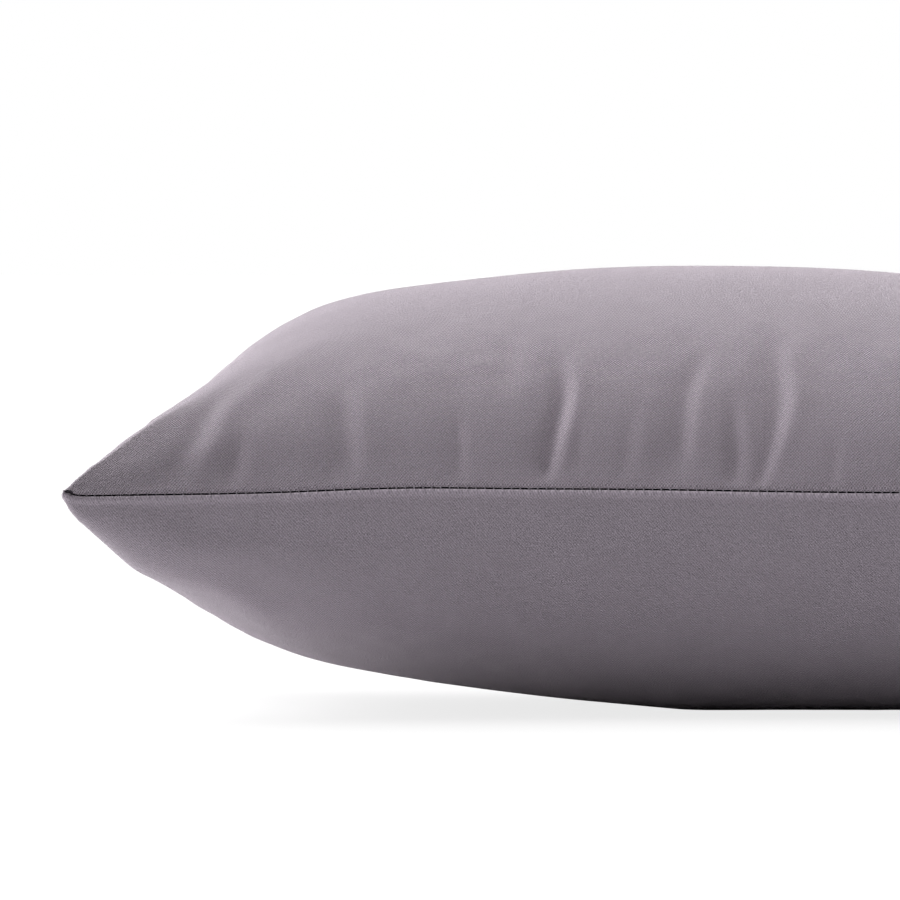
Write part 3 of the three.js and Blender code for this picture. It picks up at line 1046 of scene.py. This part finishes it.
def slit_painted_shade():
    """Near-black painted shade for the faces deep in the slit."""
    return yarn_material("slit_painted_shade", colour=(0.03, 0.025, 0.032), roughness=0.95)


def grey(tone):
    return (tone, tone, tone, 1)


def make_stage():
    """A plain pale floor, which the camera sees paler than it is."""
    deselect_all()
    bpy.ops.mesh.primitive_plane_add(size=FLOOR_SIZE, location=(0, 0, 0))
    floor = bpy.context.object
    floor.name = "floor"
    material = bpy.data.materials.new("pale_floor")
    material.use_nodes = True
    tree = material.node_tree
    shader = tree.nodes["Principled BSDF"]
    path = tree.nodes.new("ShaderNodeLightPath")
    paint = tree.nodes.new("ShaderNodeMix")
    paint.data_type = "RGBA"
    paint.inputs["A"].default_value = grey(FLOOR_BOUNCE)
    paint.inputs["B"].default_value = grey(FLOOR_SEEN)
    tree.links.new(path.outputs["Is Camera Ray"], paint.inputs["Factor"])
    tree.links.new(paint.outputs["Result"], shader.inputs["Base Color"])
    shader.inputs["Roughness"].default_value = 1.0
    shader.inputs["Specular IOR Level"].default_value = 0.0
    glow = tree.nodes.new("ShaderNodeEmission")
    paler = tree.nodes.new("ShaderNodeMixShader")
    seen = math_node(tree, "MULTIPLY", path.outputs["Is Camera Ray"], FLOOR_GLOW)
    tree.links.new(seen, paler.inputs["Fac"])
    tree.links.new(shader.outputs["BSDF"], paler.inputs[1])
    tree.links.new(glow.outputs["Emission"], paler.inputs[2])
    tree.links.new(paler.outputs["Shader"], tree.nodes["Material Output"].inputs["Surface"])
    floor.data.materials.append(material)


def add_soft_sun(name, towards, spread, strength):
    """A distant soft light, as from a large panel, shining from the given direction."""
    deselect_all()
    bpy.ops.object.light_add(type="SUN", location=Vector(towards) * LIGHT_AWAY)
    sun = bpy.context.object
    sun.name = name
    sun.data.energy = strength
    sun.data.angle = math.radians(spread)
    sun.rotation_euler = Vector(towards).to_track_quat("Z", "Y").to_euler()


def make_light():
    """Large soft panels, and a dome that is white to the camera and gives hardly any light."""
    world = bpy.data.worlds.new("studio")
    bpy.context.scene.world = world
    world.use_nodes = True
    nodes = world.node_tree.nodes
    links = world.node_tree.links
    dome = nodes["Background"]
    dome.inputs["Color"].default_value = grey(1)
    dome.inputs["Strength"].default_value = DOME_LIGHT
    seen = nodes.new("ShaderNodeBackground")
    seen.inputs["Color"].default_value = grey(1)
    seen.inputs["Strength"].default_value = 1.0
    path = nodes.new("ShaderNodeLightPath")
    mix = nodes.new("ShaderNodeMixShader")
    links.new(path.outputs["Is Camera Ray"], mix.inputs["Fac"])
    links.new(dome.outputs["Background"], mix.inputs[1])
    links.new(seen.outputs["Background"], mix.inputs[2])
    links.new(mix.outputs["Shader"], nodes["World Output"].inputs["Surface"])
    for name, towards, spread, strength in PANEL_LIGHTS:
        add_soft_sun(name, towards, spread, strength)


def make_camera():
    """The photograph's camera, whose lens fits the width seen at the near seam."""
    target = Vector((LOOK_ALONG, 0, REST_DEPTH + LOOK_ABOVE))
    back = Vector((0, -math.cos(CAMERA_RISE), math.sin(CAMERA_RISE)))
    bpy.ops.object.camera_add(location=target + back * CAMERA_AWAY)
    camera = bpy.context.object
    camera.name = "photo_camera"
    camera.rotation_euler = (-back).to_track_quat("-Z", "Y").to_euler()
    camera.data.sensor_width = SENSOR
    camera.data.lens = SENSOR * NEAR_SEAM_AWAY / SEEN_WIDTH
    camera.data.clip_end = 100
    bpy.context.scene.camera = camera
    bpy.context.scene.view_settings.view_transform = "Standard"


cloth_along = cloth_lines(HALF_LENGTH, STEP_ALONG)
cloth_across = cloth_lines(HALF_WIDTH, STEP_ACROSS)

cover = make_cover(cloth_along, cloth_across)
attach(cover, "root")
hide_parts("pillow")

stitches = make_stitches(cloth_along, cloth_across)
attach(stitches, "root")

make_stage()
make_light()
make_camera()
